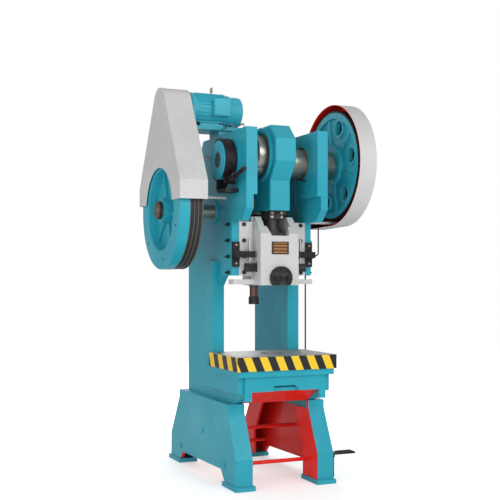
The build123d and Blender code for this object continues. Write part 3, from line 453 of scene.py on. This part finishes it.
brakeSteel = {"brown": rgb(38, 24, 32), "grime": rgb(20, 15, 19), "specular": 0.3, "grain": 0.0005}


def bandFinish():
    # dark brown oily strip of the brake band
    made = Finish("brakeBandPaint", Specular_IOR_Level=brakeSteel["specular"])
    grime = made.ramp(made.noise(24.0, 6.0), 0.4, 0.7)
    made.feed("Base Color", made.mix(grime, brakeSteel["brown"], brakeSteel["grime"]))
    made.feed("Roughness", grime * -0.2 + 0.55)
    made.feed("Metallic", grime * 0.1)
    made.bump(made.noise(120.0, 4.0) * brakeSteel["grain"])
    return made.material


oiler = {
    "oil": rgb(120, 46, 30),
    "oilShade": rgb(84, 28, 22),
    "ends": rgb(46, 44, 46),
    "glassFrom": 0.27,
    "glassTo": 0.62,
    "swirlDepth": 0.0002,
}


def oilerFinish():
    # sight glass with red-brown oil between two dark ends
    made = Finish("oilerGlass")
    low, high = corners("lubricator")
    span = (made.axis("Z") - low.z) / (high.z - low.z)
    glass = (span > oiler["glassFrom"]) * (span < oiler["glassTo"])
    swirl = made.noise(60.0, 3.0)
    oil = made.mix(made.ramp(swirl, 0.3, 0.7), oiler["oil"], oiler["oilShade"])
    made.feed("Base Color", made.mix(glass, oiler["ends"], oil))
    made.feed("Roughness", 0.45 - glass * 0.35 + swirl * 0.05)
    made.feed("Metallic", (1.0 - glass) * 0.5)
    made.bump(swirl * oiler["swirlDepth"])
    return made.material


hubCap = {
    "rust": rgb(112, 84, 62),
    "rustShade": rgb(74, 58, 48),
    "side": rgb(58, 54, 44),
    "sideShade": rgb(38, 38, 36),
    "centreRadius": 0.008,
    "rustDepth": 0.0003,
}


def capFinish():
    # dark hub cap with a rusty end face and a bright centre
    made = Finish("hubCapSteel")
    centre = made.distanceFrom(wheelAxis) < hubCap["centreRadius"]
    end = made.axis("X", made.facing) < -0.7
    rust = made.ramp(made.noise(70.0, 6.0), 0.4, 0.65)
    face = made.mix(rust, hubCap["rust"], hubCap["rustShade"])
    face = made.mix(centre, face, steel["bright"])
    side = made.mix(rust, hubCap["side"], hubCap["sideShade"])
    made.feed("Base Color", made.mix(end, side, face))
    made.feed("Metallic", centre * 0.6 + 0.3)
    made.feed("Roughness", rust * 0.2 + 0.4)
    made.bump(rust * hubCap["rustDepth"])
    return made.material


turquoise = enamelFinish("turquoiseEnamel", "turquoise")
casting = enamelFinish("turquoiseCasting", "turquoise", rough=0.36, peel=2.0)
motorPaint = enamelFinish("motorEnamel", "motor", rough=0.4, peel=1.6)
grey = enamelFinish("greyEnamel", "grey", rough=0.38)
red = enamelFinish("redEnamel", "red", rough=0.34)
black = enamelFinish("blackEnamel", "black", rough=0.34, peel=1.4)
oxide = blackOxide()
bright = turnedSteel("turnedSteel")
darkSteel = turnedSteel("oiledSteel", tone="dark", worn="darkWorn", rough=0.34, shine=0.7)

finishes = {
    "side_frame_left": turquoise, "side_frame_right": turquoise, "head_web": turquoise,
    "head_back": turquoise, "base_web": turquoise, "motor_base": turquoise,
    "table": enamelFinish("tableEnamel", "turquoise", where=tableUnderside),
    "leg_left": enamelFinish("legEnamel", "turquoise", where=legInside),
    "tie_bars": red, "tie_nuts": turquoise,
    "connecting_rod": casting, "brake_drum": casting,
    "big_gear": enamelFinish("gearEnamel", "turquoise", rough=0.36, peel=2.0, extra=gearTeeth),
    "flywheel": enamelFinish("wheelEnamel", "turquoise", rough=0.34, peel=1.6, extra=wheelGrooves),
    "motor_housing": motorPaint, "motor_end_shield": motorPaint, "motor_fan_cover": motorPaint,
    "motor_terminal_box": motorPaint,
    "slide": grey, "gib_left": grey, "gib_right": grey, "belt_guard": grey, "guard_stays": grey,
    "gear_guard": enamelFinish("gearGuardEnamel", "grey", rough=0.38, where=guardInside),
    "bolster": bolsterFinish(), "nameplate": plateFinish(),
    "crankshaft": turnedSteel("crankSteel", dark=shaftEndBlack),
    "back_shaft": bright, "motor_shaft": bright, "stop_screws": bright, "collar_screws": bright,
    "pivot_pins": bright, "motor_eyebolt": bright,
    "crank_bushes": bronzeFinish(), "drive_belts": rubberFinish(), "brake_band": bandFinish(),
    "brake_bolt": bandFinish(), "brake_bracket": black, "stop_bracket_left": black,
    "pedal": black, "pedal_guide": black, "clutch_lever": black, "shank_clamp": oxide,
    "adjusting_screw": darkSteel, "clamp_collar": darkSteel, "ball_cap": darkSteel,
    "ball_seat": darkSteel, "knockout_bar": oxide, "gib_bolts": oxide, "gib_set_screws": oxide,
    "pinion": darkSteel, "motor_pulley": darkSteel, "pull_rod": darkSteel,
    "lubricator": oilerFinish(), "flywheel_cap": capFinish(),
    "oil_tubes": turnedSteel("tubeSteel", dark=lowTubesBlack),
}
finishes["leg_right"] = finishes["leg_left"]
finishes["stop_bracket_right"] = finishes["stop_bracket_left"]
finishes["back_shaft_bushes"] = finishes["crank_bushes"]
finishes["rod_bush"] = finishes["crank_bushes"]

for nodeName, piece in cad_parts.items():
    piece.data.materials.clear()
    piece.data.materials.append(finishes[nodeName])
print("finishes laid on", len(finishes), "pieces")


def alongAxis(direction):
    # turns something made upright along Z to point along a direction
    return Vector((0, 0, 1)).rotation_difference(Vector(direction)).to_matrix().to_4x4()


def edgesOf(verts):
    # the edges that meet these vertices, each one once
    return list(dict.fromkeys(edge for vert in verts for edge in vert.link_edges))


def addRound(mesh, centre, direction, radius, length, sides=24, soften=0.0):
    # a round or many-sided boss standing on a point, with its far edge bevelled
    made = bmesh.ops.create_cone(mesh, cap_ends=True, segments=sides, radius1=radius, radius2=radius,
                                 depth=length)
    verts = made["verts"]
    bmesh.ops.translate(mesh, verts=verts, vec=(0, 0, length / 2))
    if soften:
        ends = [edge for edge in edgesOf(verts)
                if all(end.co.z > length / 2 for end in edge.verts)]
        cut = bmesh.ops.bevel(mesh, geom=ends, offset=soften, segments=2, profile=0.5,
                              affect="EDGES", material=-1)
        verts = list(dict.fromkeys([vert for vert in verts if vert.is_valid] + cut["verts"]))
    bmesh.ops.transform(mesh, verts=verts, matrix=Matrix.Translation(centre) @ alongAxis(direction))


def addBlock(mesh, low, high, soften=0.001):
    # a block between two corners with softened edges
    low, high = Vector(low), Vector(high)
    made = bmesh.ops.create_cube(mesh, size=1.0)
    bmesh.ops.scale(mesh, verts=made["verts"], vec=high - low)
    bmesh.ops.translate(mesh, verts=made["verts"], vec=(low + high) / 2)
    bmesh.ops.bevel(mesh, geom=edgesOf(made["verts"]), offset=soften, segments=2, profile=0.5,
                    affect="EDGES", material=-1)


def finishPiece(name, mesh, material, body):
    bmesh.ops.recalc_face_normals(mesh, faces=mesh.faces)
    data = bpy.data.meshes.new(name)
    mesh.to_mesh(data)
    mesh.free()
    piece = bpy.data.objects.new(name, data)
    bpy.context.scene.collection.objects.link(piece)
    data.materials.append(material)
    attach(piece, body)
    return piece


band = {
    "rivets": 16,
    "firstAngle": -52,
    "sweep": 285,
    "rowAside": 0.017,
    "rivetRadius": 0.0055,
    "rivetHeight": 0.004,
    "rivetSunk": 0.0005,
    "rivetSides": 14,
    "soften": 0.0018,
}


def bandRivets():
    # two rows of rivets round the brake band
    mesh = bmesh.new()
    low, high = corners("brake_band")
    middle = (low.x + high.x) / 2
    reach = high.y - crankAxis.y - band["rivetSunk"]
    for step in range(band["rivets"]):
        turn = math.radians(band["firstAngle"] + step * band["sweep"] / (band["rivets"] - 1))
        way = Vector((0, math.cos(turn), math.sin(turn)))
        for row in (-1, 1):
            spot = Vector((middle + row * band["rowAside"], crankAxis.y, crankAxis.z))
            addRound(mesh, spot + way * reach, way, band["rivetRadius"], band["rivetHeight"],
                     band["rivetSides"], band["soften"])
    return finishPiece("band_rivets", mesh, oxide, "frame")


bandBolt = {
    "angle": 167.5,
    "away": 0.134,
    "nutFrom": 0.078,
    "nutStep": 0.052,
    "nutRadius": 0.021,
    "nutHeight": 0.016,
    "soften": 0.0015,
    "springTurns": 6,
    "springRadius": 0.0165,
    "stepsPerTurn": 16,
    "wireRadius": 0.0022,
    "wireSides": 8,
}


def bandBoltNuts():
    # two nuts, and the coil spring between them, on the bolt that closes the brake band
    mesh = bmesh.new()
    low, high = corners("brake_band")
    lean = math.radians(bandBolt["angle"])
    way = Vector((0, math.cos(lean), math.sin(lean)))
    foot = Vector(((low.x + high.x) / 2, crankAxis.y - bandBolt["away"] * way.z,
                   crankAxis.z + bandBolt["away"] * way.y))
    reach = bandBolt["nutFrom"]
    for start in (reach, reach + bandBolt["nutStep"]):
        addRound(mesh, foot + way * start, way, bandBolt["nutRadius"], bandBolt["nutHeight"],
                 sides=6, soften=bandBolt["soften"])
    steps = bandBolt["springTurns"] * bandBolt["stepsPerTurn"]
    centre = foot + way * (reach + bandBolt["nutHeight"])
    span = bandBolt["nutStep"] - bandBolt["nutHeight"]
    side = Vector((1, 0, 0))
    place = Matrix.Translation(centre + side * bandBolt["springRadius"])
    upright = Matrix.Rotation(math.radians(90), 4, way.cross(side))
    circle = bmesh.ops.create_circle(mesh, segments=bandBolt["wireSides"],
                                     radius=bandBolt["wireRadius"], matrix=place @ upright)
    bmesh.ops.spin(mesh, geom=edgesOf(circle["verts"]), cent=centre, axis=way,
                   dvec=way * (span / steps), steps=steps,
                   angle=math.radians(360 * bandBolt["springTurns"]))
    return finishPiece("band_bolt_nuts", mesh, oxide, "frame")


guard = {
    "seamUp": 0.42,
    "seamHalf": 0.232,
    "seamWidth": 0.02,
    "seamProud": 0.0012,
    "seamSoften": 0.0005,
    "screwInset": 0.03,
    "screwRows": (0.03, 0.088),
    "screwRadius": 0.0065,
    "screwHeight": 0.003,
    "screwSides": 16,
    "screwSoften": 0.0012,
    "sunk": 0.0004,
}


def guardTrim():
    # lapped seam across the belt guard's outer face, and round-head screws on its front
    mesh = bmesh.new()
    low, high = corners("belt_guard")
    seamZ = low.z + (high.z - low.z) * guard["seamUp"]
    addBlock(mesh, (low.x - guard["seamProud"], wheelAxis.y - guard["seamHalf"], seamZ),
             (low.x + guard["sunk"], wheelAxis.y + guard["seamHalf"], seamZ + guard["seamWidth"]),
             guard["seamSoften"])
    for up in guard["screwRows"]:
        for x in (low.x + guard["screwInset"], high.x - guard["screwInset"]):
            addRound(mesh, (x, low.y + guard["sunk"], low.z + up), (0, -1, 0),
                     guard["screwRadius"], guard["screwHeight"], guard["screwSides"],
                     guard["screwSoften"])
    return finishPiece("guard_trim", mesh, grey, "frame")


wheel = {
    "plugs": 6,
    "firstAngle": 20,
    "plugCircle": 0.283,
    "plugRadius": 0.007,
    "plugHeight": 0.0022,
    "plugSunk": 0.0006,
    "soften": 0.0006,
}


def wheelPlugs():
    # hexagonal screw plugs on the flywheel's rim face
    mesh = bmesh.new()
    face = corners("flywheel")[0].x
    for step in range(wheel["plugs"]):
        turn = math.radians(wheel["firstAngle"] + 360 * step / wheel["plugs"])
        spot = Vector((face + wheel["plugSunk"], wheelAxis.y + wheel["plugCircle"] * math.cos(turn),
                       wheelAxis.z + wheel["plugCircle"] * math.sin(turn)))
        addRound(mesh, spot, (-1, 0, 0), wheel["plugRadius"], wheel["plugHeight"],
                 sides=6, soften=wheel["soften"])
    return finishPiece("rim_plugs", mesh, oxide, "flywheel")


motor = {
    # the vent dots are painted shade: flat dark discs for the shade inside the vent holes
    "ventShadeRings": (0.022, 0.038, 0.054),
    "ventShadesPerRing": 12,
    "ventShadeRadius": 0.0042,
    "ventShadeDepth": 0.0004,
    "ventShadeSides": 10,
    "lidScrewInset": 0.011,
    "lidScrewRadius": 0.0045,
    "lidScrewHeight": 0.003,
    "lidScrewSunk": 0.0003,
    "lidScrewSides": 12,
    "lidScrewSoften": 0.001,
    "footBoltLeft": 0.022,
    "footBoltRight": 0.045,
    "footBoltInset": 0.022,
    "footBoltRadius": 0.011,
    "footBoltHeight": 0.009,
    "footBoltSoften": 0.0012,
    "footThick": 0.0118,
}


def motorTrim():
    # painted shade: dark dots level with the fan cover's end stand for the shade inside its vent holes;
    # then lid screws and foot bolts
    mesh = bmesh.new()
    endX = corners("motor_fan_cover")[1].x - motor["ventShadeDepth"]
    # painted shade: flat dark dots in place of the shade seen through the vent holes
    for ring, radius in enumerate(motor["ventShadeRings"]):
        for step in range(motor["ventShadesPerRing"]):
            turn = 2 * math.pi * (step + 0.5 * (ring % 2)) / motor["ventShadesPerRing"]
            spot = (endX, motorAxis.y + radius * math.cos(turn), motorAxis.z + radius * math.sin(turn))
            addRound(mesh, spot, (1, 0, 0), motor["ventShadeRadius"], motor["ventShadeDepth"],
                     motor["ventShadeSides"])
    boxLow, boxHigh = corners("motor_terminal_box")
    inset = motor["lidScrewInset"]
    for x in (boxLow.x + inset, boxHigh.x - inset):
        for z in (boxLow.z + inset, boxHigh.z - inset):
            addRound(mesh, (x, boxLow.y + motor["lidScrewSunk"], z), (0, -1, 0),
                     motor["lidScrewRadius"], motor["lidScrewHeight"], motor["lidScrewSides"],
                     motor["lidScrewSoften"])
    baseLow, baseHigh = corners("motor_base")
    footLow, footHigh = corners("motor_housing")
    for x in (footLow.x + motor["footBoltLeft"], footHigh.x - motor["footBoltRight"]):
        for y in (baseLow.y + motor["footBoltInset"], baseHigh.y - motor["footBoltInset"]):
            addRound(mesh, (x, y, baseHigh.z + motor["footThick"]), (0, 0, 1),
                     motor["footBoltRadius"], motor["footBoltHeight"], sides=6,
                     soften=motor["footBoltSoften"])
    return finishPiece("motor_trim", mesh, oxide, "frame")


lid = {"inset": 0.004, "proud": 0.004, "sunk": 0.001, "soften": 0.0025}


def boxLid():
    # raised lid on the terminal box
    mesh = bmesh.new()
    low, high = corners("motor_terminal_box")
    addBlock(mesh, (low.x + lid["inset"], low.y - lid["proud"], low.z + lid["inset"]),
             (high.x - lid["inset"], low.y + lid["sunk"], high.z - lid["inset"]), lid["soften"])
    return finishPiece("terminal_lid", mesh, motorPaint, "frame")


stops = {
    "boltInset": 0.02,
    "boltFromEnds": 0.018,
    "boltRadius": 0.006,
    "boltHeight": 0.005,
    "boltSunk": 0.0003,
    "boltSides": 16,
    "soften": 0.0012,
    "plateThick": 0.018,
}


def bracketBolts():
    # two bolts on the outer side of each stop bracket's plate
    mesh = bmesh.new()
    for node in ("stop_bracket_left", "stop_bracket_right"):
        low, high = corners(node)
        x = low.x + stops["boltInset"] if low.x < midX else high.x - stops["boltInset"]
        plateFront = high.y - stops["plateThick"]
        for z in (low.z + stops["boltFromEnds"], high.z - stops["boltFromEnds"]):
            addRound(mesh, (x, plateFront + stops["boltSunk"], z), (0, -1, 0), stops["boltRadius"],
                     stops["boltHeight"], stops["boltSides"], stops["soften"])
    return finishPiece("bracket_bolts", mesh, bright, "frame")


cup = {
    "inset": 0.012,
    "aheadOfGib": 0.24,
    "blockUnder": 1.6,
    "neckRadius": 0.006,
    "neckLength": 0.02,
    "neckSunk": 0.0004,
    "neckSides": 12,
    "radius": 0.012,
    "height": 0.062,
    "hang": 0.018,
    "soften": 0.003,
}


def oilCup():
    # oil cup hanging under the left head block
    mesh = bmesh.new()
    x = corners("side_frame_left")[1].x - cup["inset"]
    y = middleOf("gib_left").y - cup["aheadOfGib"]
    under = cup["blockUnder"]
    addRound(mesh, (x, y, under + cup["neckSunk"]), (0, 0, -1), cup["neckRadius"],
             cup["neckLength"], cup["neckSides"])
    addRound(mesh, (x, y, under - cup["hang"]), (0, 0, -1), cup["radius"], cup["height"],
             soften=cup["soften"])
    return finishPiece("oil_cup", mesh, oxide, "frame")


tread = {
    "plateTop": 0.162,
    "length": 0.108,
    "endInset": 0.002,
    "frontInset": 0.002,
    "depth": 0.056,
    "thick": 0.003,
    "sunk": 0.0004,
    "ribs": 6,
    "firstRib": 0.008,
    "ribStep": 0.0165,
    "ribWidth": 0.006,
    "ribHeight": 0.004,
    "ribInset": 0.003,
    "ribSunk": 0.0005,
}


def pedalTread():
    # ribbed rubber pad on the pedal's plate
    mesh = bmesh.new()
    low, high = corners("pedal")
    left = high.x - tread["length"]
    padTop = tread["plateTop"] + tread["thick"]
    front = low.y + tread["frontInset"]
    back = low.y + tread["depth"]
    addBlock(mesh, (left, front, tread["plateTop"] - tread["sunk"]),
             (high.x - tread["endInset"], back, padTop))
    for step in range(tread["ribs"]):
        x = left + tread["firstRib"] + step * tread["ribStep"]
        addBlock(mesh, (x, front + tread["ribInset"], padTop - tread["ribSunk"]),
                 (x + tread["ribWidth"], back - tread["ribInset"], padTop + tread["ribHeight"]))
    return finishPiece("pedal_tread", mesh, finishes["drive_belts"], "pedal")


trims = [bandRivets(), bandBoltNuts(), guardTrim(), wheelPlugs(), motorTrim(), boxLid(),
         bracketBolts(), oilCup(), pedalTread()]
print("small parts made:", len(trims))


# Studio: a floor that fades to white, a world that is seen as white, and four soft lamps
studio = {
    "floor": (0.82, 0.82, 0.82, 1.0),
    "floorWorn": (0.8, 0.8, 0.8, 1.0),
    "floorHalf": 7.0,
    "floorDrop": 0.0005,
    "floorLift": (0.42, 0.42, 0.42, 1.0),
    "fade": (0.9, 2.4),
    "black": (0.0, 0.0, 0.0, 1.0),
    "white": (1.0, 1.0, 1.0, 1.0),
    "worldLight": 0.5,
    "lamps": [
        # name, place, energy, width
        ("keyLamp", (1.0, -4.5, 3.1), 64.0, 2.4),
        ("lowLamp", (-1.0, -4.4, 0.8), 34.0, 1.8),
        ("fillLamp", (-4.2, -2.2, 2.0), 46.0, 3.2),
        ("backLamp", (0.6, 3.4, 3.2), 70.0, 2.6),
    ],
    "aim": (0.0, -0.1, 1.2),
}


def floorFinish():
    # matt grey, lifted to white with distance where the camera sees it
    made = Finish("studioFloor", Emission_Strength=1.0)
    grain = made.noise(2.0, 3.0)
    made.feed("Base Color", made.mix(made.ramp(grain, 0.3, 0.7), studio["floor"], studio["floorWorn"]))
    made.feed("Roughness", grain * 0.1 + 0.75)
    seen = made.node("LightPath", out="Is Camera Ray")
    away = (made.axis("X") * made.axis("X") + made.axis("Y") * made.axis("Y")) ** 0.5
    lift = made.mix(made.ramp(away, *studio["fade"]), studio["floorLift"], studio["white"])
    made.feed("Emission Color", made.mix(seen, studio["black"], lift))
    return made.material


def buildStudio():
    mesh = bmesh.new()
    bmesh.ops.create_grid(mesh, x_segments=1, y_segments=1, size=studio["floorHalf"])
    data = bpy.data.meshes.new("studio_floor")
    mesh.to_mesh(data)
    mesh.free()
    floor = bpy.data.objects.new("studio_floor", data)
    floor.location.z = -studio["floorDrop"]
    bpy.context.scene.collection.objects.link(floor)
    data.materials.append(floorFinish())
    world = bpy.context.scene.world or bpy.data.worlds.new("studio")
    bpy.context.scene.world = world
    world.use_nodes = True
    tree = world.node_tree
    background = tree.nodes["Background"]
    background.inputs["Color"].default_value = studio["white"]
    light = tree.nodes.new("ShaderNodeLightPath")
    seen = tree.nodes.new("ShaderNodeMath")
    seen.operation = "MAXIMUM"
    tree.links.new(light.outputs["Is Camera Ray"], seen.inputs[0])
    seen.inputs[1].default_value = studio["worldLight"]
    tree.links.new(seen.outputs[0], background.inputs["Strength"])
    for name, place, energy, width in studio["lamps"]:
        lamp = bpy.data.lights.new(name, "AREA")
        lamp.energy = energy
        lamp.size = width
        holder = bpy.data.objects.new(name, lamp)
        holder.location = place
        aim = Vector(studio["aim"]) - Vector(place)
        holder.rotation_euler = aim.to_track_quat("-Z", "Y").to_euler()
        bpy.context.scene.collection.objects.link(holder)


buildStudio()

lens = {
    "place": (-2.21464, -5.20533, 1.15856),
    "turn": -23.46,
    "focal": 68.953,
    "sensor": 36.0,
    "shiftUp": 0.0523,
}
camera = bpy.data.objects.new("camera", bpy.data.cameras.new("camera"))
camera.location = lens["place"]
camera.rotation_euler = (math.radians(90), 0, math.radians(lens["turn"]))
camera.data.lens = lens["focal"]
camera.data.sensor_width = lens["sensor"]
camera.data.shift_y = lens["shiftUp"]
bpy.context.scene.collection.objects.link(camera)
bpy.context.scene.camera = camera
bpy.context.scene.view_settings.view_transform = "Standard"
print("studio and camera set")
